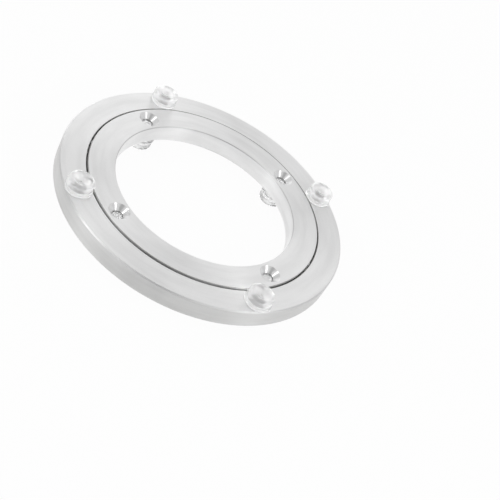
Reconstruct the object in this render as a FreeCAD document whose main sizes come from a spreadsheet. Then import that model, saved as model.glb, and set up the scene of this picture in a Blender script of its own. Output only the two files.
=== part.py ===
import FreeCAD, Part
import math
import os
import PartDesign
import Sketcher

# A turntable bearing: two flat aluminium rings, one inside the other, that turn on a row of
# balls. Clear rubber pads plug into the outer ring from above and the same pads, used as feet,
# plug into the inner ring from below. Millimetres and degrees. The ring axis is Z, and the
# feet stand on Z = 0.

# The driving sizes. Everything else is worked out from them.
SIZES = {
    # the two rings, measured outwards from the axis
    "bore_radius": 38.0,
    "inner_width": 10.9,
    "running_gap": 0.6,
    "outer_width": 10.5,
    "ring_thickness": 8.2,
    "ring_step": 0.4,
    # small bevels on the rings' edges
    "rim_bevel": 0.5,
    "gap_bevel": 0.2,
    "bore_top_bevel": 0.3,
    "bore_bottom_bevel": 1.0,
    # the row of balls in the groove that both rings share
    "ball_radius": 2.0,
    "spacer_radius": 1.9,
    "groove_clearance": 0.06,
    "ball_slack": 0.15,
    # the screw holes, with the sink's full angle in degrees
    "hole_radius": 2.25,
    "sink_radius": 4.3,
    "sink_angle": 90.0,
    # the hole that the balls go in by, and its plug
    "fill_clearance": 0.1,
    "plug_clearance": 0.03,
    "plug_recess": 0.3,
    "plug_setback": 0.05,
    "socket_flats": 2.0,
    "socket_depth": 1.8,
    # the rubber pad, from its seat upwards
    "pad_height": 5.1,
    "flange_overhang": 0.25,
    "flange_thickness": 1.2,
    "cap_inset": 0.3,
    "neck_depth": 0.6,
    "neck_height": 1.0,
    "dimple_radius": 2.7,
    "dimple_floor_radius": 1.3,
    "dimple_depth": 1.5,
    "pip_radius": 0.4,
    "pip_height": 0.3,
    "flange_round": 0.45,
    "neck_round": 0.35,
    "cap_lower_round": 0.7,
    "cap_upper_round": 1.0,
    "dimple_round": 0.5,
    # the pad's stem in its hole
    "stem_clearance": 0.05,
    "stem_recess": 0.5,
    "stem_round": 0.7,
    # how far the outer ring stands turned back from the inner ring, in degrees
    "rest_turn": 15.0,
}

FULL_TURN = 360.0
HOLE_COUNT = 4
FIRST_HOLE = 45.0
HOLE_PITCH = FULL_TURN / HOLE_COUNT

# Places worked out from the sizes, each written as an expression of the sheet's cells.
INNER_EDGE = "(sizes.bore_radius + sizes.inner_width)"
PITCH = f"({INNER_EDGE} + sizes.running_gap / 2)"
OUTER_BORE = f"({INNER_EDGE} + sizes.running_gap)"
RIM = f"({OUTER_BORE} + sizes.outer_width)"
GROOVE = "(sizes.ball_radius + sizes.groove_clearance)"
INNER_CIRCLE = "(sizes.bore_radius + sizes.inner_width / 2)"
OUTER_CIRCLE = f"({OUTER_BORE} + sizes.outer_width / 2)"
SINK_DEPTH = "((sizes.sink_radius - sizes.hole_radius) / tan(sizes.sink_angle / 2))"
INNER_FLOOR = "sizes.pad_height"
INNER_TOP = f"({INNER_FLOOR} + sizes.ring_thickness)"
OUTER_TOP = f"({INNER_TOP} - sizes.ring_step)"
OUTER_FLOOR = f"({OUTER_TOP} - sizes.ring_thickness)"
BALL_PLANE = f"(({INNER_FLOOR} + {OUTER_TOP}) / 2)"
FLANGE_RADIUS = "(min(sizes.inner_width; sizes.outer_width) / 2 + sizes.flange_overhang)"
CAP_RADIUS = f"({FLANGE_RADIUS} - sizes.cap_inset)"
NECK_RADIUS = f"({CAP_RADIUS} - sizes.neck_depth)"
STEM_RADIUS = "(sizes.hole_radius - sizes.stem_clearance)"
STEM_LENGTH = f"(sizes.ring_thickness - {SINK_DEPTH} - sizes.stem_recess)"
CAP_FLOOR = "(sizes.flange_thickness + sizes.neck_height)"
DIMPLE_FLOOR = "(sizes.pad_height - sizes.dimple_depth)"
FILL_RADIUS = "(sizes.ball_radius + sizes.fill_clearance)"
PLUG_START = "(sizes.bore_radius + sizes.plug_recess)"
PLUG_END = f"({PITCH} - {GROOVE} - sizes.plug_setback)"

TOLERANCE = 0.001

# How a sketch numbers its own origin and axes, and the points of a line or a circle.
HORIZONTAL_AXIS = -1
VERTICAL_AXIS = -2
ORIGIN = (-1, 1)
START = 1
END = 2
CENTRE = 3

doc = FreeCAD.newDocument("turntable_bearing")
sheet = doc.addObject("Spreadsheet::Sheet", "sizes")


def fill_sheet():
    """One row for each driving size: its name, its value and the alias that names it."""
    for row, (name, value) in enumerate(SIZES.items(), start=1):
        sheet.set(f"A{row}", name)
        sheet.set(f"B{row}", str(value))
        sheet.setAlias(f"B{row}", name)
    doc.recompute()


def value_of(expression):
    """The number that an expression of the sheet's cells gives."""
    result = sheet.evalExpression(expression)
    return float(getattr(result, "Value", result))


def bind(thing, bindings):
    """Tie each property of an object to an expression of the sheet's cells."""
    for path, expression in bindings.items():
        thing.setExpression(path, expression)


def origin_part(body, role):
    """The plane or axis of a body's own origin that has this role."""
    return next(item for item in body.Origin.OriginFeatures if item.Role == role)


def new_sketch(body, label, role, offset=None):
    """An empty sketch on one of the body's own origin planes, raised by an offset if given."""
    sketch = body.newObject("Sketcher::SketchObject", label)
    sketch.AttachmentSupport = (origin_part(body, role), [""])
    sketch.MapMode = "FlatFace"
    if offset:
        sketch.setExpression(".AttachmentOffset.Base.z", offset)
    return sketch


def hold_point(sketch, geometry, point, name, across, up):
    """Fix one point of a sketch by two named distances from the sketch's origin."""
    for kind, letter, axis, expression in (
        ("DistanceX", "x", VERTICAL_AXIS, across),
        ("DistanceY", "y", HORIZONTAL_AXIS, up),
    ):
        place = value_of(expression)
        if abs(place) < TOLERANCE:
            sketch.addConstraint(Sketcher.Constraint("PointOnObject", geometry, point, axis))
            continue
        index = sketch.addConstraint(
            Sketcher.Constraint(kind, *ORIGIN, geometry, point, place)
        )
        sketch.renameConstraint(index, f"{name}_{letter}")
        sketch.setExpression(f"Constraints.{name}_{letter}", expression)


def draw_outline(sketch, corners):
    """A closed outline of straight lines; each corner is a pair of expressions."""
    places = [FreeCAD.Vector(value_of(x), value_of(y), 0) for x, y in corners]
    count = len(corners)
    for index in range(count):
        line = Part.LineSegment(places[index], places[(index + 1) % count])
        sketch.addGeometry(line, False)
    for index in range(count):
        sketch.addConstraint(
            Sketcher.Constraint("Coincident", index, END, (index + 1) % count, START)
        )
    for index, (across, up) in enumerate(corners):
        hold_point(sketch, index, START, f"corner_{index}", across, up)


def draw_circle(sketch, across, up, radius):
    """A circle whose centre and radius are expressions."""
    centre = FreeCAD.Vector(value_of(across), value_of(up), 0)
    circle = Part.Circle(centre, FreeCAD.Vector(0, 0, 1), value_of(radius))
    geometry = sketch.addGeometry(circle, False)
    hold_point(sketch, geometry, CENTRE, "centre", across, up)
    index = sketch.addConstraint(Sketcher.Constraint("Radius", geometry, value_of(radius)))
    sketch.renameConstraint(index, "radius")
    sketch.setExpression("Constraints.radius", radius)


def turned_body(label, corners):
    """A body turned from a half section in its own XZ plane."""
    body = doc.addObject("PartDesign::Body", label)
    body.Label = label
    sketch = new_sketch(body, f"{label}_section", "XZ_Plane")
    draw_outline(sketch, corners)
    turning = body.newObject("PartDesign::Revolution", f"{label}_turning")
    turning.Profile = sketch
    turning.ReferenceAxis = (sketch, ["V_Axis"])
    turning.Angle = FULL_TURN
    doc.recompute()
    return body


def must_lose_volume(before, feature):
    """Stop if a cut has taken nothing away."""
    doc.recompute()
    if feature.Shape.Volume >= before - TOLERANCE:
        raise RuntimeError(f"{feature.Label} cuts nothing")


def cut_groove(body, label):
    """Turn the ball groove into a ring: a round channel on the pitch circle."""
    before = body.Shape.Volume
    sketch = new_sketch(body, f"{label}_groove_section", "XZ_Plane")
    draw_circle(sketch, PITCH, BALL_PLANE, GROOVE)
    groove = body.newObject("PartDesign::Groove", f"{label}_groove")
    groove.Profile = sketch
    groove.ReferenceAxis = (sketch, ["V_Axis"])
    groove.Angle = FULL_TURN
    must_lose_volume(before, groove)


def drill_screw_holes(body, label, circle, level, from_below):
    """Four sunk screw holes on a circle, drilled from the face at this level."""
    before = body.Shape.Volume
    sketch = new_sketch(body, f"{label}_hole_centre", "XY_Plane", level)
    draw_circle(
        sketch,
        f"{circle} * cos({FIRST_HOLE})",
        f"{circle} * sin({FIRST_HOLE})",
        "sizes.hole_radius",
    )
    doc.recompute()
    hole = body.newObject("PartDesign::Hole", f"{label}_hole")
    hole.Profile = sketch
    hole.DepthType = "ThroughAll"
    hole.Reversed = from_below
    hole.HoleCutType = "Countersink"
    hole.HoleCutCustomValues = True
    bind(
        hole,
        {
            "Diameter": "2 * sizes.hole_radius",
            "HoleCutDiameter": "2 * sizes.sink_radius",
            "HoleCutCountersinkAngle": "sizes.sink_angle",
        },
    )
    must_lose_volume(before, hole)
    pattern = body.newObject("PartDesign::PolarPattern", f"{label}_holes")
    pattern.Originals = [hole]
    pattern.Axis = (origin_part(body, "Z_Axis"), [""])
    pattern.Angle = FULL_TURN
    pattern.Occurrences = HOLE_COUNT
    body.Tip = pattern
    must_lose_volume(hole.Shape.Volume, pattern)


def drill_fill_hole(body, label):
    """The hole from the bore into the groove, that the balls go in by."""
    before = body.Shape.Volume
    sketch = new_sketch(body, f"{label}_fill_centre", "XZ_Plane")
    draw_circle(sketch, "0", BALL_PLANE, FILL_RADIUS)
    pocket = body.newObject("PartDesign::Pocket", f"{label}_fill_hole")
    pocket.Profile = sketch
    pocket.Type = "Length"
    pocket.Reversed = True
    bind(pocket, {"Length": PITCH})
    must_lose_volume(before, pocket)


def make_outer_ring():
    """The ring that turns and carries the plate."""
    rim_inside = f"{RIM} - sizes.rim_bevel"
    bore_outside = f"{OUTER_BORE} + sizes.gap_bevel"
    body = turned_body(
        "outer_ring",
        [
            (bore_outside, OUTER_FLOOR),
            (rim_inside, OUTER_FLOOR),
            (RIM, f"{OUTER_FLOOR} + sizes.rim_bevel"),
            (RIM, f"{OUTER_TOP} - sizes.rim_bevel"),
            (rim_inside, OUTER_TOP),
            (bore_outside, OUTER_TOP),
            (OUTER_BORE, f"{OUTER_TOP} - sizes.gap_bevel"),
            (OUTER_BORE, f"{OUTER_FLOOR} + sizes.gap_bevel"),
        ],
    )
    cut_groove(body, "outer")
    drill_screw_holes(body, "outer", OUTER_CIRCLE, OUTER_FLOOR, from_below=True)
    return body


def make_inner_ring():
    """The ring that stands still on the feet."""
    edge_inside = f"{INNER_EDGE} - sizes.gap_bevel"
    body = turned_body(
        "inner_ring",
        [
            ("sizes.bore_radius + sizes.bore_bottom_bevel", INNER_FLOOR),
            (edge_inside, INNER_FLOOR),
            (INNER_EDGE, f"{INNER_FLOOR} + sizes.gap_bevel"),
            (INNER_EDGE, f"{INNER_TOP} - sizes.gap_bevel"),
            (edge_inside, INNER_TOP),
            ("sizes.bore_radius + sizes.bore_top_bevel", INNER_TOP),
            ("sizes.bore_radius", f"{INNER_TOP} - sizes.bore_top_bevel"),
            ("sizes.bore_radius", f"{INNER_FLOOR} + sizes.bore_bottom_bevel"),
        ],
    )
    cut_groove(body, "inner")
    drill_screw_holes(body, "inner", INNER_CIRCLE, INNER_TOP, from_below=False)
    drill_fill_hole(body, "inner")
    bind(body, {".Placement.Rotation.Angle": "sizes.rest_turn"})
    return body


def make_fill_plug():
    """The plug that closes the fill hole, with a six-sided socket in its outer end."""
    shank = doc.addObject("Part::Cylinder", "plug_shank")
    bind(
        shank,
        {
            "Radius": f"{FILL_RADIUS} - sizes.plug_clearance",
            "Height": f"{PLUG_END} - {PLUG_START}",
        },
    )
    socket = doc.addObject("Part::Prism", "plug_socket")
    socket.Polygon = 6
    bind(
        socket,
        {"Circumradius": "sizes.socket_flats / sqrt(3)", "Height": "sizes.socket_depth"},
    )
    plug = doc.addObject("Part::Cut", "fill_plug")
    plug.Base = shank
    plug.Tool = socket
    plug.Label = "fill_plug"
    # laid flat, so that its socket faces the ring axis from the inner ring's own -Y side
    plug.Placement.Rotation = FreeCAD.Rotation(FreeCAD.Vector(1, 0, 0), 90)
    bind(
        plug,
        {
            ".Placement.Rotation.Axis.x": "cos(sizes.rest_turn)",
            ".Placement.Rotation.Axis.y": "sin(sizes.rest_turn)",
            ".Placement.Base.x": f"{PLUG_START} * sin(sizes.rest_turn)",
            ".Placement.Base.y": f"-{PLUG_START} * cos(sizes.rest_turn)",
            ".Placement.Base.z": BALL_PLANE,
        },
    )
    return plug


def ball_count():
    """How many pairs of a steel ball and a spacer ball fit round the pitch circle."""
    pair = value_of("2 * (sizes.ball_radius + sizes.spacer_radius + sizes.ball_slack)")
    return math.floor(2 * math.pi * value_of(PITCH) / pair)


def make_ball(label, radius, angle):
    """One ball on the pitch circle."""
    ball = doc.addObject("Part::Sphere", label)
    ball.Label = label
    bind(
        ball,
        {
            "Radius": radius,
            ".Placement.Base.x": f"{PITCH} * cos({angle})",
            ".Placement.Base.y": f"{PITCH} * sin({angle})",
            ".Placement.Base.z": BALL_PLANE,
        },
    )
    return ball


def make_steel_balls():
    """The steel balls that carry the load, evenly spaced round the groove."""
    count = ball_count()
    step = FULL_TURN / count
    return [
        make_ball(f"steel_ball_{index + 1:02d}", "sizes.ball_radius", index * step)
        for index in range(count)
    ]


def make_spacer_balls():
    """The plastic balls that keep the steel ones apart, one group of separate solids."""
    count = ball_count()
    step = FULL_TURN / count
    balls = [
        make_ball(f"spacer_{index + 1:02d}", "sizes.spacer_radius", (index + 0.5) * step)
        for index in range(count)
    ]
    group = doc.addObject("Part::Compound", "spacer_balls")
    group.Label = "spacer_balls"
    group.Links = balls
    return group


def circle_edges(feature, wanted):
    """The names of a turned feature's round edges at each wanted radius and height."""
    names = []
    for radius, height in wanted:
        for index, edge in enumerate(feature.Shape.Edges, start=1):
            curve = edge.Curve
            if not isinstance(curve, Part.Circle):
                continue
            if abs(curve.Radius - value_of(radius)) > TOLERANCE:
                continue
            if abs(curve.Center.z - value_of(height)) > TOLERANCE:
                continue
            names.append(f"Edge{index}")
    if len(names) != len(wanted):
        raise RuntimeError(f"{feature.Label} has {len(names)} of {len(wanted)} edges to round")
    return names


def round_edges(body, label, radius, wanted):
    """Round some of a body's round edges, each given by its radius and height."""
    base = body.Tip
    rounding = body.newObject("PartDesign::Fillet", label)
    rounding.Base = (base, circle_edges(base, wanted))
    bind(rounding, {"Radius": radius})
    doc.recompute()


def make_pad(label):
    """One moulded pad, seat at Z = 0: flange, neck, cap with a dimple, and stem below."""
    body = turned_body(
        label,
        [
            ("0", f"-{STEM_LENGTH}"),
            (STEM_RADIUS, f"-{STEM_LENGTH}"),
            (STEM_RADIUS, "0"),
            (FLANGE_RADIUS, "0"),
            (FLANGE_RADIUS, "sizes.flange_thickness"),
            (NECK_RADIUS, "sizes.flange_thickness"),
            (NECK_RADIUS, CAP_FLOOR),
            (CAP_RADIUS, CAP_FLOOR),
            (CAP_RADIUS, "sizes.pad_height"),
            ("sizes.dimple_radius", "sizes.pad_height"),
            ("sizes.dimple_floor_radius", DIMPLE_FLOOR),
            ("sizes.pip_radius", DIMPLE_FLOOR),
            ("sizes.pip_radius", f"{DIMPLE_FLOOR} + sizes.pip_height"),
            ("0", f"{DIMPLE_FLOOR} + sizes.pip_height"),
        ],
    )
    flange = [(FLANGE_RADIUS, "0"), (FLANGE_RADIUS, "sizes.flange_thickness")]
    neck = [(NECK_RADIUS, "sizes.flange_thickness"), (NECK_RADIUS, CAP_FLOOR)]
    cap_lower = [(CAP_RADIUS, CAP_FLOOR)]
    cap_upper = [(CAP_RADIUS, "sizes.pad_height")]
    dimple = [("sizes.dimple_floor_radius", DIMPLE_FLOOR)]
    stem = [(STEM_RADIUS, f"-{STEM_LENGTH}")]
    round_edges(body, f"{label}_flange_round", "sizes.flange_round", flange)
    round_edges(body, f"{label}_neck_round", "sizes.neck_round", neck)
    round_edges(body, f"{label}_cap_lower_round", "sizes.cap_lower_round", cap_lower)
    round_edges(body, f"{label}_cap_upper_round", "sizes.cap_upper_round", cap_upper)
    round_edges(body, f"{label}_dimple_round", "sizes.dimple_round", dimple)
    round_edges(body, f"{label}_stem_round", "sizes.stem_round", stem)
    return body


def place_on_circle(body, circle, angle, level):
    """Move a pad to its hole."""
    bind(
        body,
        {
            ".Placement.Base.x": f"{circle} * cos({angle})",
            ".Placement.Base.y": f"{circle} * sin({angle})",
            ".Placement.Base.z": level,
        },
    )


def make_top_pads():
    """The four pads that the plate rests on, in the outer ring's holes."""
    pads = []
    for index in range(HOLE_COUNT):
        pad = make_pad(f"top_pad_{index + 1}")
        place_on_circle(pad, OUTER_CIRCLE, FIRST_HOLE + index * HOLE_PITCH, OUTER_TOP)
        pads.append(pad)
    return pads


def make_feet():
    """The four feet: the same pads upside down, in the inner ring's holes."""
    feet = []
    for index in range(HOLE_COUNT):
        foot = make_pad(f"foot_{index + 1}")
        foot.Placement.Rotation = FreeCAD.Rotation(FreeCAD.Vector(1, 0, 0), 180)
        angle = f"{FIRST_HOLE + index * HOLE_PITCH} + sizes.rest_turn"
        place_on_circle(foot, INNER_CIRCLE, angle, INNER_FLOOR)
        feet.append(foot)
    return feet


def check_everything():
    """Stop if any object failed or any shape is missing or broken."""
    for item in doc.Objects:
        if "Invalid" in item.State or "Error" in item.State:
            raise RuntimeError(f"{item.Label} failed: {item.State}")


def write_parts(parts):
    """Write each sub-part to a file of its own, named by its label."""
    os.makedirs("parts", exist_ok=True)
    for part in parts:
        shape = part.Shape
        if shape.isNull() or not shape.isValid():
            raise RuntimeError(f"{part.Label} has no valid shape")
        shape.exportStep(os.path.join("parts", f"{part.Label}.step"))
        solids = len(shape.Solids)
        print(f"{part.Label}: {solids} solid(s), {shape.Volume:.2f} mm3")


fill_sheet()
parts = [make_outer_ring(), make_inner_ring(), make_fill_plug()]
parts += make_steel_balls()
parts.append(make_spacer_balls())
parts += make_top_pads()
parts += make_feet()
doc.recompute()
check_everything()
write_parts(parts)
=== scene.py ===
# %% [markdown]
# # A lazy susan bearing, dressed for its picture
#
# The bearing is two flat aluminium rings, one inside the other, with a row of balls between them.
# Four clear silicone pads stand on the outer ring and carry a plate. Four more, upside down, are
# the feet under the inner ring. The CAD model gives every rigid shape at its real size, so this
# script adds what CAD has not got: the camera, the light, the finish of each metal, and silicone
# pads that are modelled like mouldings.

# %% Load the CAD model as a fixed frame
import math

import bpy
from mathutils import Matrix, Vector


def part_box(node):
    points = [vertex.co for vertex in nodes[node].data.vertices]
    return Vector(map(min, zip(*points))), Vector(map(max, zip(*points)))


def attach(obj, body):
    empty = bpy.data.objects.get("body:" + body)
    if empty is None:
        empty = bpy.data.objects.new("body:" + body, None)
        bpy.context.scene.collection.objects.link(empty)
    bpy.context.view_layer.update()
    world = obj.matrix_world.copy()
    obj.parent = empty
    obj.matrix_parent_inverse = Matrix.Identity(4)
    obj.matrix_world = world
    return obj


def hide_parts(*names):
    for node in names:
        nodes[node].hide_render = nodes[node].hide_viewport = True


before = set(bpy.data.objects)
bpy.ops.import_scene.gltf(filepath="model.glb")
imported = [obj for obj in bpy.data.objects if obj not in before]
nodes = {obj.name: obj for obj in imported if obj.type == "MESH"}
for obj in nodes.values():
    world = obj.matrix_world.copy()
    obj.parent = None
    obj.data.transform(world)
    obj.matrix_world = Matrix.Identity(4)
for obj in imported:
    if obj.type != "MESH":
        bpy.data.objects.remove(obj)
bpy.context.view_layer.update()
scene = bpy.context.scene
print("loaded", len(nodes), "CAD nodes")

# %% [markdown]
# ## Millimetres
#
# Blender works in metres here, and the part is thought of in millimetres. One constant turns the
# one into the other, so that the numbers below read like the numbers on a drawing.

# %% Millimetres
MM = 0.001

outer_low, outer_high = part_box("outer_ring")
print("outer ring across:", round((outer_high.x - outer_low.x) / MM, 2), "mm")

# %% [markdown]
# ## The camera
#
# The edges of the rings are circles, and a circle seen at an angle is an ellipse. From the ellipses
# the viewpoint can be worked out: the camera stands about 40 cm away, looks down at 38.6 degrees,
# and is rolled by 32 degrees, which is why the bearing seems to lean. In Blender the camera is
# aimed first and rolled last, about its own axis.

# %% Camera
CAMERA_PLACE = Vector((0.026366, -0.315563, 0.252637))
CAMERA_ELEVATION = 38.63
CAMERA_ROLL = 32.258
LENS = 72.0856
SENSOR_WIDTH = 36.0
NEAREST_SEEN = 0.01

bpy.ops.object.camera_add(location=CAMERA_PLACE)
camera = bpy.context.object
camera.name = "camera"
camera.rotation_euler = (math.radians(90.0 - CAMERA_ELEVATION), 0.0, 0.0)
camera.rotation_euler.rotate_axis("Z", math.radians(CAMERA_ROLL))
camera.data.lens = LENS
camera.data.sensor_width = SENSOR_WIDTH
camera.data.clip_start = NEAREST_SEEN
scene.camera = camera
print("camera at", [round(c, 4) for c in camera.location], "lens", camera.data.lens)

# %% [markdown]
# ## Helpers for node trees
#
# A material is a network of nodes. Placing them by hand in code is wordy, so one helper adds a node
# and fills its inputs, either with a value or with a link from another node. The others are short
# ways to the nodes that are used the most.

# %% Node helpers
def add_node(tree, kind, inputs=None, **settings):
    made = tree.nodes.new(kind)
    for key, value in settings.items():
        setattr(made, key, value)
    for key, value in (inputs or {}).items():
        if isinstance(value, bpy.types.NodeSocket):
            tree.links.new(value, made.inputs[key])
        else:
            made.inputs[key].default_value = value
    return made


def maths(tree, operation, *values, clamp=False):
    numbered = dict(enumerate(values))
    made = add_node(tree, "ShaderNodeMath", numbered, operation=operation, use_clamp=clamp)
    return made.outputs[0]


def ramp_between(tree, value, low, high, to_low=0.0, to_high=1.0):
    """Turns value into a number that goes from to_low to to_high as value goes from low to high."""
    ends = {"From Min": low, "From Max": high, "To Min": to_low, "To Max": to_high}
    made = add_node(
        tree, "ShaderNodeMapRange", {"Value": value, **ends}, interpolation_type="SMOOTHSTEP"
    )
    return made.outputs["Result"]


def mix_numbers(tree, share, first, second):
    inputs = {"Factor": share, "A": first, "B": second}
    return add_node(tree, "ShaderNodeMix", inputs, data_type="FLOAT").outputs[0]


def mix_colours(tree, share, first, second):
    inputs = {0: share, 6: first, 7: second}
    return add_node(tree, "ShaderNodeMix", inputs, data_type="RGBA").outputs[2]


def grey(level):
    return (level, level, level, 1.0)


def new_material(name):
    """An empty material, and its node tree."""
    finish = bpy.data.materials.new(name)
    finish.use_nodes = True
    finish.node_tree.nodes.clear()
    return finish, finish.node_tree


# %% [markdown]
# ## Floor
#
# Product pictures like this one stand on a white sweep, so the floor runs into the background
# without an edge. The floor is a white matt surface that keeps the soft shadow of the rings. A
# share of it glows, for the camera and for what metal and clear silicone mirror, so that the
# background is clean white while the lamps stay at a plain level. It lies a hair below the feet,
# because light that leaves clear silicone would miss a floor that touches it.

# %% Floor
FLOOR_SIZE = 3.0
FLOOR_TONE = 0.92
FLOOR_GLOW = 0.95
FLOOR_DROP = 0.02 * MM

bpy.ops.object.select_all(action="DESELECT")
bpy.ops.mesh.primitive_plane_add(size=FLOOR_SIZE, location=(0.0, 0.0, -FLOOR_DROP))
floor = bpy.context.object
floor.name = "floor"


def background_rays(tree):
    """1 for light paths that show the background: straight, mirrored, or through glass."""
    path = add_node(tree, "ShaderNodeLightPath").outputs
    seen = maths(tree, "ADD", path["Is Camera Ray"], path["Is Glossy Ray"])
    return maths(tree, "ADD", seen, path["Is Transmission Ray"], clamp=True)


floor_finish, tree = new_material("floor_white")
matt = add_node(tree, "ShaderNodeBsdfDiffuse", {"Color": grey(FLOOR_TONE)})
glow = add_node(tree, "ShaderNodeEmission", {"Color": grey(1.0), "Strength": 1.0})
share = maths(tree, "MULTIPLY", background_rays(tree), FLOOR_GLOW)
both = add_node(tree, "ShaderNodeMixShader", {0: share, 1: matt.outputs[0], 2: glow.outputs[0]})
add_node(tree, "ShaderNodeOutputMaterial", {"Surface": both.outputs[0]})
floor.data.materials.append(floor_finish)
print("floor:", round(FLOOR_DROP / MM, 2), "mm below the feet")

# %% [markdown]
# ## Studio
#
# The polished screw sinks work like small mirrors, and they tell what stood round the real object:
# a bright sky from about 25 degrees up, which starts lower on the far side, a bright panel low on
# the far left, darker surroundings near the horizon, and one black spot above the camera. A picture
# of a studio could be wrapped round the scene. Here the world is given those tones by direction,
# with a few ramps, so that each can be changed by itself.

# %% Tones by direction
HORIZON_TONE = 0.28
SKY_TONE = 0.80
SKY_HEIGHTS = (0.12, 0.43)
OVERHEAD_TONE = 1.05
OVERHEAD_HEIGHTS = (0.5, 0.85)
FAR_LIFT = 0.24
FAR_DEPTHS = (0.3, 0.85)
PANEL_TONE = 0.95
PANEL_CENTRE = (-0.38, 0.22)
PANEL_REACH = (0.50, 0.36)
PANEL_DEPTHS = (0.0, 0.3)
DARK_SPOT_TONE = 0.05
DARK_SPOT_CENTRE = (0.04, 0.766)
DARK_SPOT_REACH = (0.30, 0.15)
DARK_SPOT_EDGE = (0.7, 1.3)
DARK_SPOT_DEPTHS = (-0.25, -0.05)


# %% The studio that metal mirrors
def distance_from(tree, side, height, centre, reach):
    """Squared distance of a direction from a patch of the studio. It is 1 at the patch's edge."""
    across = maths(tree, "DIVIDE", maths(tree, "SUBTRACT", side, centre[0]), reach[0])
    along = maths(tree, "DIVIDE", maths(tree, "SUBTRACT", height, centre[1]), reach[1])
    across_squared = maths(tree, "MULTIPLY", across, across)
    return maths(tree, "ADD", across_squared, maths(tree, "MULTIPLY", along, along))


world = bpy.data.worlds.new("studio")
scene.world = world
world.use_nodes = True
tree = world.node_tree
tree.nodes.clear()
direction = add_node(tree, "ShaderNodeTexCoord").outputs["Generated"]
side, depth, height = add_node(tree, "ShaderNodeSeparateXYZ", {"Vector": direction}).outputs
far_lift = ramp_between(tree, depth, *FAR_DEPTHS, 0.0, FAR_LIFT)
lifted = maths(tree, "ADD", height, far_lift)
sky = ramp_between(tree, lifted, *SKY_HEIGHTS, HORIZON_TONE, SKY_TONE)
from_panel = distance_from(tree, side, height, PANEL_CENTRE, PANEL_REACH)
panel = ramp_between(tree, from_panel, 0.0, 1.0, PANEL_TONE, 0.0)
on_far_side = ramp_between(tree, depth, *PANEL_DEPTHS)
sky = maths(tree, "ADD", sky, maths(tree, "MULTIPLY", panel, on_far_side))
overhead = ramp_between(tree, height, *OVERHEAD_HEIGHTS, 1.0, OVERHEAD_TONE)
sky = maths(tree, "MULTIPLY", sky, overhead)
from_spot = distance_from(tree, side, height, DARK_SPOT_CENTRE, DARK_SPOT_REACH)
spot = ramp_between(tree, from_spot, *DARK_SPOT_EDGE, DARK_SPOT_TONE, 1.0)
spot = maths(tree, "MAXIMUM", spot, ramp_between(tree, depth, *DARK_SPOT_DEPTHS))
mirrored = maths(tree, "MULTIPLY", sky, spot)
print("mirrored tones:", HORIZON_TONE, "at the horizon,", SKY_TONE, "in the sky")

# %% [markdown]
# Those tones are for mirrored light only. Matt surfaces get the same plain light from all round.
# The camera sees white, and so does whatever looks through clear silicone, because the real pads
# stood before white too.

# %% What each kind of light path sees
FILL_TONE = 0.7
THROUGH_TONE = 1.0
BACKGROUND_TONE = 1.0

path = add_node(tree, "ShaderNodeLightPath").outputs
level = mix_numbers(tree, path["Is Diffuse Ray"], mirrored, FILL_TONE)
level = mix_numbers(tree, path["Is Transmission Ray"], level, THROUGH_TONE)
level = mix_numbers(tree, path["Is Camera Ray"], level, BACKGROUND_TONE)
background = add_node(tree, "ShaderNodeBackground", {"Color": grey(1.0), "Strength": level})
add_node(tree, "ShaderNodeOutputWorld", {"Surface": background.outputs[0]})
print("world:", len(tree.nodes), "nodes")

# %% [markdown]
# Two soft lamps, one at the left front and one at the right, brighten the sides. Each is given by
# its angle round the object from the front, its angle above the horizon, and its power in watts.

# %% Lamps
LAMP_DISTANCE = 0.95
LAMP_SIZE = 0.2
LAMPS = {
    "left_softbox": (-56.0, 32.0, 1.1),
    "right_softbox": (74.0, 30.0, 1.1),
}
AIM_POINT = Vector((0.0, 0.0, 10.0 * MM))

for name, (side, elevation, power) in LAMPS.items():
    side, elevation = math.radians(side), math.radians(elevation)
    away = math.cos(elevation)
    place = Vector((math.sin(side) * away, -math.cos(side) * away, math.sin(elevation)))
    bpy.ops.object.light_add(type="AREA", location=place * LAMP_DISTANCE)
    lamp = bpy.context.object
    lamp.name = name
    lamp.data.shape = "SQUARE"
    lamp.data.size = LAMP_SIZE
    lamp.data.energy = power
    lamp.rotation_euler = (AIM_POINT - lamp.location).to_track_quat("-Z", "Y").to_euler()
    print(name, [round(c, 2) for c in lamp.location], power, "W")

# %% [markdown]
# ## Node groups
#
# An effect that several finishes share could be laid out again in each of them. Here it is built
# once as a node group. Each group reads the place on the piece in metres, and gives back masks and
# heights between 0 and 1. Those for turned parts start from the same three numbers: the distance
# from the axis, the angle round it and the height.

# %% Group helpers
def new_group(name, inputs, outputs):
    """An empty node group. inputs is {name: default}, where None is a vector; outputs is a list."""
    tree = bpy.data.node_groups.new(name, "ShaderNodeTree")
    for label, default in inputs.items():
        kind = "NodeSocketVector" if default is None else "NodeSocketFloat"
        socket = tree.interface.new_socket(label, in_out="INPUT", socket_type=kind)
        if default is not None:
            socket.default_value = default
    for label in outputs:
        tree.interface.new_socket(label, in_out="OUTPUT", socket_type="NodeSocketFloat")
    given = tree.nodes.new("NodeGroupInput").outputs
    return tree, given, tree.nodes.new("NodeGroupOutput").inputs


def use_group(tree, group, inputs):
    return add_node(tree, "ShaderNodeGroup", inputs, node_tree=group).outputs


def round_place(tree, place):
    """Distance from the Z axis, angle round it in radians, and height of a place."""
    x, y, z = add_node(tree, "ShaderNodeSeparateXYZ", {"Vector": place}).outputs
    squares = maths(tree, "ADD", maths(tree, "MULTIPLY", x, x), maths(tree, "MULTIPLY", y, y))
    return maths(tree, "SQRT", squares), maths(tree, "ARCTAN2", y, x), z


def upright_share(tree, facing):
    """1 on a flat face, 0 on a wall, and in between on a slope."""
    apart = add_node(tree, "ShaderNodeSeparateXYZ", {"Vector": facing}).outputs
    return maths(tree, "ABSOLUTE", apart["Z"])


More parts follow.
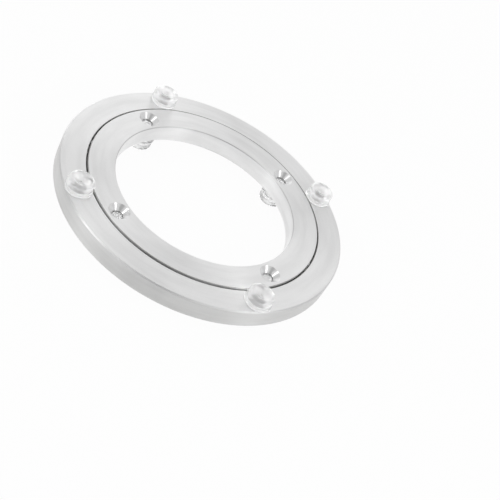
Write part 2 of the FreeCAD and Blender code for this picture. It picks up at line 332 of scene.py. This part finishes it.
# %% [markdown]
# A lathe leaves fine grooves that run round the part. Across them the surface changes within tenths
# of a millimetre, and along them hardly at all. The noise is therefore read at the distance from
# the axis plus the height, because that sum changes across the grooves on flat faces and on walls
# alike, and it is stretched out along the angle. A second, broader noise gives the bands that a
# slowly moving tool leaves.

# %% Turned grooves
STREAK_LENGTH = 2.0
BANDS_PER_GROOVE = 0.06
GROOVE_DETAIL = 2.0
BAND_DETAIL = 3.0


def build_turned_grooves():
    tree, given, out = new_group(
        "turned_grooves",
        {"Place": None, "Pitch": 0.2 * MM, "Streak length": STREAK_LENGTH},
        ["Groove", "Band"],
    )
    radius, angle, height = round_place(tree, given["Place"])
    turn_x = maths(tree, "MULTIPLY", maths(tree, "COSINE", angle), given["Streak length"])
    turn_y = maths(tree, "MULTIPLY", maths(tree, "SINE", angle), given["Streak length"])
    fine = maths(tree, "DIVIDE", maths(tree, "ADD", radius, height), given["Pitch"])
    broad = maths(tree, "MULTIPLY", fine, BANDS_PER_GROOVE)
    for label, across, detail in (("Groove", fine, GROOVE_DETAIL), ("Band", broad, BAND_DETAIL)):
        at = add_node(tree, "ShaderNodeCombineXYZ", {0: across, 1: turn_x, 2: turn_y}).outputs[0]
        noise = add_node(
            tree, "ShaderNodeTexNoise", {"Vector": at, "Scale": 1.0, "Detail": detail}
        )
        tree.links.new(noise.outputs["Fac"], out[label])
    return tree


turned_grooves = build_turned_grooves()
print("group:", turned_grooves.name)

# %% [markdown]
# Anodising and handling leave a fine, even grain over the grooves, and a few soft cloudy patches.
# Both come from one group, because every finish here uses them at its own scale.

# %% Grain and clouds
GRAIN_DETAIL = 1.0
CLOUD_DETAIL = 3.0
NOISE_ROUGHNESS = 0.55


def build_grain():
    tree, given, out = new_group(
        "grain_and_clouds",
        {"Place": None, "Grain size": 0.2 * MM, "Cloud size": 12.0 * MM},
        ["Grain", "Cloud"],
    )
    for label, detail in (("Grain", GRAIN_DETAIL), ("Cloud", CLOUD_DETAIL)):
        scale = maths(tree, "DIVIDE", 1.0, given[label + " size"])
        noise = {"Scale": scale, "Detail": detail, "Roughness": NOISE_ROUGHNESS}
        made = add_node(tree, "ShaderNodeTexNoise", {"Vector": given["Place"], **noise})
        tree.links.new(made.outputs["Fac"], out[label])
    return tree


grain_and_clouds = build_grain()
print("group:", grain_and_clouds.name)

# %% [markdown]
# A turned ring has walls, bevels and flat faces, and each is finished a little differently. Which
# of them a place belongs to is told by the way it faces: a wall faces sideways, a bevel halfway up,
# and a face straight up or down. Whether it faces away from the axis or towards it tells the
# outside from the inside. This works on a mesh of flat facets too, where the distance from the axis
# would waver.

# %% Zones of a ring
WALL_BELOW = 0.4
BEVEL_MIDDLE = 0.67
BEVEL_REACH = 0.27
SIDEWAYS_FROM = 0.2


def build_ring_zones():
    tree, given, out = new_group(
        "ring_zones",
        {"Place": None, "Facing": None},
        ["Outer wall", "Inner wall", "Outer bevel", "Inner bevel"],
    )
    angle = round_place(tree, given["Place"])[1]
    facing = add_node(tree, "ShaderNodeSeparateXYZ", {"Vector": given["Facing"]}).outputs
    along_x = maths(tree, "MULTIPLY", facing["X"], maths(tree, "COSINE", angle))
    along_y = maths(tree, "MULTIPLY", facing["Y"], maths(tree, "SINE", angle))
    outwards = maths(tree, "ADD", along_x, along_y)
    upright = upright_share(tree, given["Facing"])
    wall = maths(tree, "LESS_THAN", upright, WALL_BELOW)
    slope = maths(tree, "COMPARE", upright, BEVEL_MIDDLE, BEVEL_REACH)
    for side, reach in (("Outer", outwards), ("Inner", maths(tree, "MULTIPLY", outwards, -1.0))):
        that_side = maths(tree, "GREATER_THAN", reach, SIDEWAYS_FROM)
        tree.links.new(maths(tree, "MULTIPLY", wall, that_side), out[side + " wall"])
        tree.links.new(maths(tree, "MULTIPLY", slope, that_side), out[side + " bevel"])
    return tree


ring_zones = build_ring_zones()
print("group:", ring_zones.name)

# %% [markdown]
# The screw holes are cut after the ring is turned, with a countersink that spins round each hole's
# own axis. It leaves a polished cone. The four holes are alike, so the angle is folded into a
# quarter turn, and one distance from one hole's axis serves all four. The same few nodes also tell
# the finish further down which way the cutter went, so they have a helper of their own.

# %% Where the screw holes are
HOLE_COUNT = 4
INNER_HOLE_CIRCLE = 43.45 * MM
OUTER_HOLE_CIRCLE = 54.75 * MM
INNER_HOLES_START = 60.0
OUTER_HOLES_START = 45.0

print(HOLE_COUNT, "holes in each ring, the inner ones from", INNER_HOLES_START, "degrees")


# %% Places round a screw hole
def round_a_hole(tree, place, circle_radius, first_angle):
    """Distance from the axis of the nearest screw hole, and the angle round it in radians."""
    radius, angle, _ = round_place(tree, place)
    pitch = 2.0 * math.pi / HOLE_COUNT
    shifted = maths(tree, "ADD", maths(tree, "SUBTRACT", angle, first_angle), pitch / 2)
    folded = maths(tree, "SUBTRACT", maths(tree, "FLOORED_MODULO", shifted, pitch), pitch / 2)
    along = maths(tree, "MULTIPLY", radius, maths(tree, "COSINE", folded))
    along = maths(tree, "SUBTRACT", along, circle_radius)
    across = maths(tree, "MULTIPLY", radius, maths(tree, "SINE", folded))
    along_squared = maths(tree, "MULTIPLY", along, along)
    squares = maths(tree, "ADD", along_squared, maths(tree, "MULTIPLY", across, across))
    around = maths(tree, "ARCTAN2", across, along)
    turn = maths(tree, "ADD", around, maths(tree, "SUBTRACT", angle, folded))
    return maths(tree, "SQRT", squares), turn


# %% Screw sinks
SINK_RADIUS = 4.3 * MM
SINK_REACH = SINK_RADIUS + 0.1 * MM
FLAT_FROM = 0.94
HOLE_WALL_BELOW = 0.3


def build_screw_sinks():
    tree, given, out = new_group(
        "screw_sinks",
        {"Place": None, "Facing": None, "Circle radius": INNER_HOLE_CIRCLE, "First angle": 0.0},
        ["Inside", "Hole wall"],
    )
    distance, _ = round_a_hole(tree, given["Place"], given["Circle radius"], given["First angle"])
    within = maths(tree, "LESS_THAN", distance, SINK_REACH)
    upright = upright_share(tree, given["Facing"])
    for label, limit in (("Inside", FLAT_FROM), ("Hole wall", HOLE_WALL_BELOW)):
        below = maths(tree, "LESS_THAN", upright, limit)
        tree.links.new(maths(tree, "MULTIPLY", within, below), out[label])
    return tree


screw_sinks = build_screw_sinks()
print("group:", screw_sinks.name)

# %% [markdown]
# ## Aluminium rings
#
# Both rings are turned from aluminium and anodised clear. The flat faces are satin, the outer wall
# is painted a little darker as painted shade, and the screw sinks are polished. Grease and painted
# shade darken the walls of the gap deep inside it. The bevels of the gap and of the bore are
# painted darker as painted shade, and the walls of the screw holes lighter as painted light. A
# colour could be painted onto the mesh. Here each zone gets its tone in turn by its mask, and the
# bands of the turning tool and the grain then shade them all.

# %% Tones of the rings
FACE_TONE = grey(0.86)
# Painted shade: the outer wall is painted darker than the faces.
SHADED_WALL_TONE = (0.73, 0.73, 0.725, 1.0)
BORE_TONE = grey(0.90)
SINK_TONE = grey(0.85)
# Painted light: the walls of the screw holes are painted lighter than the faces.
LIT_HOLE_WALL_TONE = grey(0.97)
# Painted shade: the open holes above the feet's stems are painted dark.
SHADED_OPEN_HOLE_TONE = grey(0.42)
RIM_BEVEL_TONE = grey(0.88)
# Painted shade: the bevels of the bore and of the gap are painted darker than the faces.
SHADED_BORE_BEVEL_TONE = grey(0.76)
SHADED_OUTER_GAP_BEVEL_TONE = (0.42, 0.42, 0.41, 1.0)
SHADED_INNER_GAP_BEVEL_TONE = (0.62, 0.62, 0.61, 1.0)
# Grease and painted shade: the walls of the gap are painted dark deep inside it.
GREASE_AND_SHADE_TONE = (0.08, 0.078, 0.072, 1.0)
GREASE_AND_SHADE_HEIGHTS = (5.6 * MM, 6.6 * MM)
GREASE_AND_SHADE_STOPS = (11.6 * MM, 12.8 * MM)
NOISE_RANGE = (0.3, 0.7)
BAND_SHADES = (0.955, 1.03)
GRAIN_SHADES = (0.975, 1.02)


# %% Colour of the rings
def grease_and_shade_places(tree, height, gap_wall):
    """1 on the wall of the gap, deep enough for grease and painted shade."""
    above = ramp_between(tree, height, *GREASE_AND_SHADE_HEIGHTS)
    below = ramp_between(tree, height, *GREASE_AND_SHADE_STOPS, 1.0, 0.0)
    return maths(tree, "MULTIPLY", gap_wall, maths(tree, "MULTIPLY", above, below))


def zone_colours(tree, greased_and_shaded, zones, sinks, zone_tones):
    # Grease and painted shade darken the gap's walls.
    colour = mix_colours(tree, greased_and_shaded, FACE_TONE, GREASE_AND_SHADE_TONE)
    # Painted shade on the outer wall and on the bevels of the gap and the bore comes with these
    # zone tones.
    for zone, tone in zone_tones.items():
        colour = mix_colours(tree, zones[zone], colour, tone)
    colour = mix_colours(tree, sinks["Inside"], colour, SINK_TONE)
    # Painted light on the walls of the screw holes.
    return mix_colours(tree, sinks["Hole wall"], colour, LIT_HOLE_WALL_TONE)


def shaded_colours(tree, colour, grooves, grain):
    bands = ramp_between(tree, grooves["Band"], *NOISE_RANGE, *BAND_SHADES)
    speckle = ramp_between(tree, grain["Grain"], *NOISE_RANGE, *GRAIN_SHADES)
    scale = {0: colour, "Scale": maths(tree, "MULTIPLY", bands, speckle)}
    return add_node(tree, "ShaderNodeVectorMath", scale, operation="SCALE").outputs[0]


# %% [markdown]
# The grooves and the clouds also go into the roughness, and the grooves and the grain into a bump.
# The outer wall and the bevels are a little rougher than the faces. The sinks have one even
# roughness and hardly any relief, which makes them look polished.

# %% Roughness and relief of the rings
SATIN_ROUGHNESS = (0.33, 0.43)
CLOUD_ROUGHNESS = (-0.03, 0.03)
WALL_EXTRA = 0.08
BEVEL_EXTRA = 0.16
SINK_ROUGHNESS = 0.36
GROOVE_SHARE = 0.6
GRAIN_SHARE = 0.4
SINK_SMOOTHING = 0.9
RELIEF_STRENGTH = 0.25
RELIEF_DEPTH = 0.03 * MM


def ring_roughness(tree, grooves, grain, zones, sinks):
    satin = ramp_between(tree, grooves["Groove"], *NOISE_RANGE, *SATIN_ROUGHNESS)
    clouds = ramp_between(tree, grain["Cloud"], *NOISE_RANGE, *CLOUD_ROUGHNESS)
    rough = maths(tree, "ADD", satin, clouds)
    wall = maths(tree, "MULTIPLY", zones["Outer wall"], WALL_EXTRA)
    bevels = maths(tree, "ADD", zones["Outer bevel"], zones["Inner bevel"])
    rough = maths(tree, "ADD", rough, wall)
    rough = maths(tree, "ADD", rough, maths(tree, "MULTIPLY", bevels, BEVEL_EXTRA))
    return mix_numbers(tree, sinks["Inside"], rough, SINK_ROUGHNESS)


def ring_relief(tree, grooves, grain, sinks):
    """A normal that the grooves and the grain bend, hardly at all in the polished sinks."""
    grooved = maths(tree, "MULTIPLY", grooves["Groove"], GROOVE_SHARE)
    grained = maths(tree, "MULTIPLY", grain["Grain"], GRAIN_SHARE)
    smoothed = maths(tree, "MULTIPLY", sinks["Inside"], SINK_SMOOTHING)
    kept = maths(tree, "SUBTRACT", 1.0, smoothed)
    relief = maths(tree, "MULTIPLY", maths(tree, "ADD", grooved, grained), kept)
    bump = {"Height": relief, "Strength": RELIEF_STRENGTH, "Distance": RELIEF_DEPTH}
    return add_node(tree, "ShaderNodeBump", bump).outputs[0]


# %% [markdown]
# Turned metal mirrors in streaks that lie across its grooves. Anisotropic on the shader does that,
# and the tangent tells it which way the grooves run: round the ring's axis, and inside a screw sink
# round the hole's own axis.

# %% Which way the grooves run
def groove_direction(tree, place, facing, hole_circle, first_angle):
    ring_angle = round_place(tree, place)[1]
    from_hole, hole_angle = round_a_hole(tree, place, hole_circle, first_angle)
    near = maths(tree, "LESS_THAN", from_hole, SINK_REACH)
    sloped = maths(tree, "LESS_THAN", upright_share(tree, facing), FLAT_FROM)
    in_sink = maths(tree, "MULTIPLY", near, sloped)
    angle = mix_numbers(tree, in_sink, ring_angle, hole_angle)
    along_x = maths(tree, "MULTIPLY", maths(tree, "SINE", angle), -1.0)
    along = {0: along_x, 1: maths(tree, "COSINE", angle)}
    return add_node(tree, "ShaderNodeCombineXYZ", along).outputs[0]


# %% [markdown]
# The two rings differ in where their holes are, in which wall is the gap's, and in their tones. The
# holes of the inner ring are empty above the ends of the feet's stems, and their walls are painted
# dark there as painted shade.

# %% The ring finish
GROOVE_PITCH = 0.22 * MM
RING_GRAIN = 0.16 * MM
STREAKING = 0.88
QUARTER_TURN = 0.25
STEM_END_HEIGHT = 10.7 * MM


def ring_finish(name, hole_circle, hole_start, gap_side, zone_tones, shaded_above=None):
    finish, tree = new_material(name)
    coordinates = add_node(tree, "ShaderNodeTexCoord").outputs
    place, facing = coordinates["Object"], coordinates["Normal"]
    first_angle = math.radians(hole_start)
    grooves = use_group(tree, turned_grooves, {"Place": place, "Pitch": GROOVE_PITCH})
    grain = use_group(tree, grain_and_clouds, {"Place": place, "Grain size": RING_GRAIN})
    zones = use_group(tree, ring_zones, {"Place": place, "Facing": facing})
    holes = {"Circle radius": hole_circle, "First angle": first_angle}
    sinks = use_group(tree, screw_sinks, {"Place": place, "Facing": facing, **holes})
    height = round_place(tree, place)[2]
    greased_and_shaded = grease_and_shade_places(tree, height, zones[gap_side])
    colour = zone_colours(tree, greased_and_shaded, zones, sinks, zone_tones)
    # Painted shade in the empty top of the inner ring's screw holes.
    if shaded_above is not None:
        above = maths(tree, "GREATER_THAN", height, shaded_above)
        empty = maths(tree, "MULTIPLY", sinks["Hole wall"], above)
        colour = mix_colours(tree, empty, colour, SHADED_OPEN_HOLE_TONE)
    metal = add_node(
        tree,
        "ShaderNodeBsdfPrincipled",
        {
            "Base Color": shaded_colours(tree, colour, grooves, grain),
            "Metallic": 1.0,
            "Roughness": ring_roughness(tree, grooves, grain, zones, sinks),
            "Anisotropic": STREAKING,
            "Anisotropic Rotation": QUARTER_TURN,
            "Normal": ring_relief(tree, grooves, grain, sinks),
            "Tangent": groove_direction(tree, place, facing, hole_circle, first_angle),
        },
    )
    add_node(tree, "ShaderNodeOutputMaterial", {"Surface": metal.outputs[0]})
    return finish


# %% Finish both rings
finishes = {}
finishes["outer_ring_aluminium"] = ring_finish(
    "outer_ring_satin_aluminium",
    OUTER_HOLE_CIRCLE,
    OUTER_HOLES_START,
    "Inner wall",
    {
        "Outer wall": SHADED_WALL_TONE,
        "Outer bevel": RIM_BEVEL_TONE,
        "Inner bevel": SHADED_OUTER_GAP_BEVEL_TONE,
    },
)
finishes["inner_ring_aluminium"] = ring_finish(
    "inner_ring_satin_aluminium",
    INNER_HOLE_CIRCLE,
    INNER_HOLES_START,
    "Outer wall",
    {
        "Inner wall": BORE_TONE,
        "Inner bevel": SHADED_BORE_BEVEL_TONE,
        "Outer bevel": SHADED_INNER_GAP_BEVEL_TONE,
    },
    shaded_above=STEM_END_HEIGHT,
)
print("ring finishes:", [finish.name for finish in finishes.values()])

# %% [markdown]
# ## Balls and plug
#
# Bearing balls are ground and polished steel with a thin film of grease. The spacer balls are white
# nylon, which is slightly waxy. The plug that closes the ball filler is a small blackened screw
# with fine turning marks. These pieces are mostly hidden, but the gap shows them from close by. One
# function makes all three, from a tone, a range of roughness and the size of the grain.

# %% A plain finish with its own fine grain
PLAIN_CLOUDS = 3.0 * MM
CLOUD_SHADE = 0.9
PLAIN_STRENGTH = 0.3


def plain_finish(name, tone, metallic, roughness, grain_size, bump_height):
    finish, tree = new_material(name)
    place = add_node(tree, "ShaderNodeTexCoord").outputs["Object"]
    sizes = {"Grain size": grain_size, "Cloud size": PLAIN_CLOUDS}
    grain = use_group(tree, grain_and_clouds, {"Place": place, **sizes})
    clouded = tuple(channel * CLOUD_SHADE for channel in tone[:3]) + (1.0,)
    bump = {"Height": grain["Grain"], "Strength": PLAIN_STRENGTH, "Distance": bump_height}
    surface = add_node(
        tree,
        "ShaderNodeBsdfPrincipled",
        {
            "Base Color": mix_colours(tree, grain["Cloud"], clouded, tone),
            "Metallic": metallic,
            "Roughness": ramp_between(tree, grain["Grain"], *NOISE_RANGE, *roughness),
            "Normal": add_node(tree, "ShaderNodeBump", bump).outputs[0],
        },
    )
    add_node(tree, "ShaderNodeOutputMaterial", {"Surface": surface.outputs[0]})
    return finish


# %% Steel, nylon and the plug
finishes["ball_steel"] = plain_finish(
    "ground_ball_steel",
    tone=(0.62, 0.62, 0.63, 1.0),
    metallic=1.0,
    roughness=(0.08, 0.16),
    grain_size=0.3 * MM,
    bump_height=0.004 * MM,
)
finishes["spacer_plastic"] = plain_finish(
    "white_nylon",
    tone=(0.80, 0.79, 0.75, 1.0),
    metallic=0.0,
    roughness=(0.345, 0.495),
    grain_size=0.3 * MM,
    bump_height=0.01 * MM,
)
finishes["plug_steel"] = plain_finish(
    "blackened_plug_steel",
    tone=(0.20, 0.20, 0.21, 1.0),
    metallic=1.0,
    roughness=(0.28, 0.40),
    grain_size=0.15 * MM,
    bump_height=0.01 * MM,
)
print("finishes so far:", [finish.name for finish in finishes.values()])

# %% [markdown]
# ## Clear silicone
#
# Moulded silicone is as clear as glass but softer. It bends light a little less, with an index of
# just under 1.4, and its moulded skin scatters a little. The stems of the upper pads are frosted,
# so that the screw holes round them show only as soft grey patches. The stems of the feet are
# clear, and daylight from below comes up through their cut ends, which show in the screw sinks.

# %% Roughness of the silicone
SKIN_CLOUDS = (0.35, 0.7)
SKIN_ROUGHNESS = (0.28, 0.31)
STEMS_MIDDLE = 9.0 * MM
STEMS_REACH = 3.85 * MM
GAP_EDGE = 49.5 * MM
STEM_ROUGHNESS = 0.7
CUT_END_REACH = 0.4 * MM
CUT_END_ROUGHNESS = 0.32
UPWARDS_FROM = 0.8


def silicone_roughness(tree, place, facing, cloud):
    radius, _, height = round_place(tree, place)
    at_stem = maths(tree, "COMPARE", height, STEMS_MIDDLE, STEMS_REACH)
    on_outer_ring = maths(tree, "GREATER_THAN", radius, GAP_EDGE)
    frosted = maths(tree, "MULTIPLY", at_stem, on_outer_ring)
    at_end = maths(tree, "COMPARE", height, STEM_END_HEIGHT, CUT_END_REACH)
    upwards = add_node(tree, "ShaderNodeSeparateXYZ", {"Vector": facing}).outputs["Z"]
    cut_end = maths(tree, "MULTIPLY", at_end, maths(tree, "GREATER_THAN", upwards, UPWARDS_FROM))
    rough = ramp_between(tree, cloud, *SKIN_CLOUDS, *SKIN_ROUGHNESS)
    rough = mix_numbers(tree, frosted, rough, STEM_ROUGHNESS)
    return mix_numbers(tree, cut_end, rough, CUT_END_ROUGHNESS)


# %% [markdown]
# A glossy coat gives the sharp lights on the soft skin. Light passes through silicone to what is
# below, so its shadow is very light. The lamps' shadow rays cannot bend through glass in Cycles,
# so the shader lets them pass straight through a Transparent share that only they see.

# %% The silicone finish
SILICONE_TONES = (grey(1.0), grey(0.985))
SILICONE_GRAIN = 0.6 * MM
SILICONE_CLOUDS = 4.0 * MM
SILICONE_IOR = 1.38
CLEAR_SHARE = 0.95
COAT_ROUGHNESS = 0.06
SKIN_STRENGTH = 0.05
SKIN_DEPTH = 0.01 * MM
SHADOW_TONE = 0.99


def build_silicone():
    finish, tree = new_material("clear_moulded_silicone")
    coordinates = add_node(tree, "ShaderNodeTexCoord").outputs
    place, facing = coordinates["Object"], coordinates["Normal"]
    sizes = {"Grain size": SILICONE_GRAIN, "Cloud size": SILICONE_CLOUDS}
    grain = use_group(tree, grain_and_clouds, {"Place": place, **sizes})
    bump = {"Height": grain["Grain"], "Strength": SKIN_STRENGTH, "Distance": SKIN_DEPTH}
    clear = add_node(
        tree,
        "ShaderNodeBsdfPrincipled",
        {
            "Base Color": mix_colours(tree, grain["Cloud"], *SILICONE_TONES),
            "Roughness": silicone_roughness(tree, place, facing, grain["Cloud"]),
            "IOR": SILICONE_IOR,
            "Coat Weight": 1.0,
            "Coat Roughness": COAT_ROUGHNESS,
            "Transmission Weight": CLEAR_SHARE,
            "Normal": add_node(tree, "ShaderNodeBump", bump).outputs[0],
        },
    )
    passed = add_node(tree, "ShaderNodeBsdfTransparent", {"Color": grey(SHADOW_TONE)})
    is_shadow = add_node(tree, "ShaderNodeLightPath").outputs["Is Shadow Ray"]
    shaders = {0: is_shadow, 1: clear.outputs[0], 2: passed.outputs[0]}
    both = add_node(tree, "ShaderNodeMixShader", shaders)
    add_node(tree, "ShaderNodeOutputMaterial", {"Surface": both.outputs[0]})
    return finish


finishes["clear_rubber"] = build_silicone()
print("finish:", finishes["clear_rubber"].name)

# %% [markdown]
# Every CAD node comes with slots that are named after what it is made of. A finish could be chosen
# for each node by hand. Here each slot takes the finish that is filed under its own name, so that
# no node can be missed.

# %% Give every CAD node its finish
for node in nodes.values():
    for slot in node.material_slots:
        slot.material = finishes[slot.material.name]
print("dressed", len(nodes), "CAD nodes")

# %% [markdown]
# ## The silicone pad
#
# The real pad is one moulding: a stem that is pushed into the screw hole, a thin round flange that
# lies on the ring, a narrow neck and a thick cap with a dimple where the mould's gate was. It could
# be drawn as a profile and spun. Here it is built the way a potter pulls a shape up: a disc is
# extruded upwards ring by ring, and each new ring is scaled to its radius. The round edges come
# afterwards from the Bevel tool, because a bevel stays true when a radius changes.

# %% Pad sizes, measured upwards from the face that the flange lies on
PAD_SEGMENTS = 96
SEAT = 0.02 * MM
STEM_END = -5.65 * MM
STEM_RADIUS = 2.2 * MM
FLANGE_RADIUS = 5.5 * MM
FLANGE_TOP = 1.1 * MM
NECK_RADIUS = 4.2 * MM
CAP_BOTTOM = 2.0 * MM
CAP_RADIUS = 5.2 * MM
PAD_TOP = 5.1 * MM
DIMPLE_RADIUS = 3.4 * MM
DIMPLE_FLOOR_RADIUS = 1.4 * MM
DIMPLE_FLOOR = 3.9 * MM
PIP_RADIUS = 0.4 * MM
PIP_TOP = 4.1 * MM

# %% The radius and height of each ring, and the radius and steps of each rounding
PAD_RINGS = (
    (STEM_RADIUS, SEAT),
    (FLANGE_RADIUS, SEAT),
    (FLANGE_RADIUS, FLANGE_TOP),
    (NECK_RADIUS, FLANGE_TOP),
    (NECK_RADIUS, CAP_BOTTOM),
    (CAP_RADIUS, CAP_BOTTOM),
    (CAP_RADIUS, PAD_TOP),
    (DIMPLE_RADIUS, PAD_TOP),
    (DIMPLE_FLOOR_RADIUS, DIMPLE_FLOOR),
    (PIP_RADIUS, DIMPLE_FLOOR),
    (PIP_RADIUS, PIP_TOP),
)
PAD_ROUNDS = (
    (STEM_RADIUS, STEM_END, 0.7 * MM, 6),
    (FLANGE_RADIUS, SEAT, 0.45 * MM, 6),
    (FLANGE_RADIUS, FLANGE_TOP, 0.45 * MM, 6),
    (NECK_RADIUS, FLANGE_TOP, 0.3 * MM, 5),
    (NECK_RADIUS, CAP_BOTTOM, 0.3 * MM, 5),
    (CAP_RADIUS, CAP_BOTTOM, 0.38 * MM, 6),
    (CAP_RADIUS, PAD_TOP, 1.2 * MM, 14),
    (DIMPLE_RADIUS, PAD_TOP, 0.6 * MM, 8),
    (DIMPLE_FLOOR_RADIUS, DIMPLE_FLOOR, 0.9 * MM, 8),
    (PIP_RADIUS, PIP_TOP, 0.15 * MM, 3),
)
print("pad profile:", len(PAD_RINGS), "rings,", len(PAD_ROUNDS), "roundings")


# %% Pull a ring up, and find one again
ON_CIRCLE = 0.004 * MM


def pull_up(radius, height, last_radius, last_height):
    """Extrudes the selected disc to a new height and scales it to a new radius."""
    bpy.ops.mesh.extrude_region_move(
        TRANSFORM_OT_translate={"value": (0.0, 0.0, height - last_height)}
    )
    scale = radius / last_radius
    bpy.ops.transform.resize(value=(scale, scale, 1.0), center_override=(0.0, 0.0, height))


def select_circle(piece, radius, height):
    """Selects the edges that run round the axis at this radius and height."""
    bpy.ops.object.mode_set(mode="EDIT")
    bpy.ops.mesh.select_all(action="DESELECT")
    bpy.ops.object.mode_set(mode="OBJECT")
    mesh = piece.data
    on = [
        abs(math.hypot(v.co.x, v.co.y) - radius) < ON_CIRCLE and abs(v.co.z - height) < ON_CIRCLE
        for v in mesh.vertices
    ]
    for edge in mesh.edges:
        edge.select = on[edge.vertices[0]] and on[edge.vertices[1]]
    chosen = sum(edge.select for edge in mesh.edges)
    bpy.ops.object.mode_set(mode="EDIT")
    bpy.ops.mesh.select_mode(type="EDGE")
    return chosen


# %% Build the pad once
MERGE_DISTANCE = 0.001 * MM
SMOOTH_BELOW = math.radians(40.0)


def build_pad():
    bpy.ops.object.select_all(action="DESELECT")
    bpy.ops.mesh.primitive_circle_add(
        vertices=PAD_SEGMENTS,
        radius=STEM_RADIUS,
        fill_type="NGON",
        location=(0.0, 0.0, STEM_END),
    )
    pad = bpy.context.object
    pad.name = "pad_shape"
    bpy.ops.object.transform_apply(location=True)
    bpy.ops.object.mode_set(mode="EDIT")
    bpy.ops.mesh.select_mode(type="FACE")
    bpy.ops.mesh.select_all(action="SELECT")
    last_radius, last_height = STEM_RADIUS, STEM_END
    for radius, height in PAD_RINGS:
        pull_up(radius, height, last_radius, last_height)
        last_radius, last_height = radius, height
    for radius, height, round_size, steps in PAD_ROUNDS:
        chosen = select_circle(pad, radius, height)
        if chosen != PAD_SEGMENTS:
            raise ValueError(f"found {chosen} edges at radius {radius}, height {height}")
        bpy.ops.mesh.bevel(offset=round_size, segments=steps, affect="EDGES", clamp_overlap=False)
    bpy.ops.mesh.select_all(action="SELECT")
    bpy.ops.mesh.remove_doubles(threshold=MERGE_DISTANCE)
    bpy.ops.mesh.normals_make_consistent(inside=False)
    bpy.ops.object.mode_set(mode="OBJECT")
    bpy.ops.object.shade_smooth_by_angle(angle=SMOOTH_BELOW)
    return pad


pad_shape = build_pad()
pad_length = round(pad_shape.dimensions.z / MM, 2)
print("pad:", len(pad_shape.data.polygons), "faces,", pad_length, "mm with its stem")

# %% [markdown]
# The eight pads are copies of that one shape, each with its own mesh. The four on top stand on the
# outer ring. The four feet are turned upside down and hang under the inner ring. Each piece takes
# the place of its CAD solid and moves with the ring that it is plugged into.

# %% Place the pads and the feet
INNER_RING_FLOOR = 5.1 * MM
OUTER_RING_TOP = 12.9 * MM
SETS = (
    ("top_pad", "turning_ring", OUTER_HOLE_CIRCLE, OUTER_HOLES_START, OUTER_RING_TOP, False),
    ("foot", "standing_ring", INNER_HOLE_CIRCLE, INNER_HOLES_START, INNER_RING_FLOOR, True),
)


def copy_pad(name, place, upside_down):
    bpy.ops.object.select_all(action="DESELECT")
    pad_shape.select_set(True)
    bpy.context.view_layer.objects.active = pad_shape
    bpy.ops.object.duplicate(linked=False)
    piece = bpy.context.object
    piece.name = name
    piece.data.name = name
    if upside_down:
        piece.rotation_euler = (math.pi, 0.0, 0.0)
    piece.location = place
    bpy.ops.object.transform_apply(location=True, rotation=True, scale=True)
    piece.data.materials.clear()
    piece.data.materials.append(finishes["clear_rubber"])
    return piece


for kind, body, circle, start, height, upside_down in SETS:
    for number in range(HOLE_COUNT):
        angle = math.radians(start + 360.0 / HOLE_COUNT * number)
        place = Vector((circle * math.cos(angle), circle * math.sin(angle), height))
        cad_name = f"{kind}_{number + 1}"
        piece = copy_pad(f"silicone_{cad_name}", place, upside_down)
        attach(piece, body)
        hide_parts(cad_name)
        low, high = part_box(cad_name)
        off = ((low + high) / 2 - place).xy.length
        print(piece.name, "rides on", body, "- off its CAD solid by", round(off / MM, 3), "mm")
bpy.data.objects.remove(pad_shape)

# %% [markdown]
# ## Finish
#
# Standard view keeps the colours as they are written.

# %% Colour management
scene.view_settings.view_transform = "Standard"
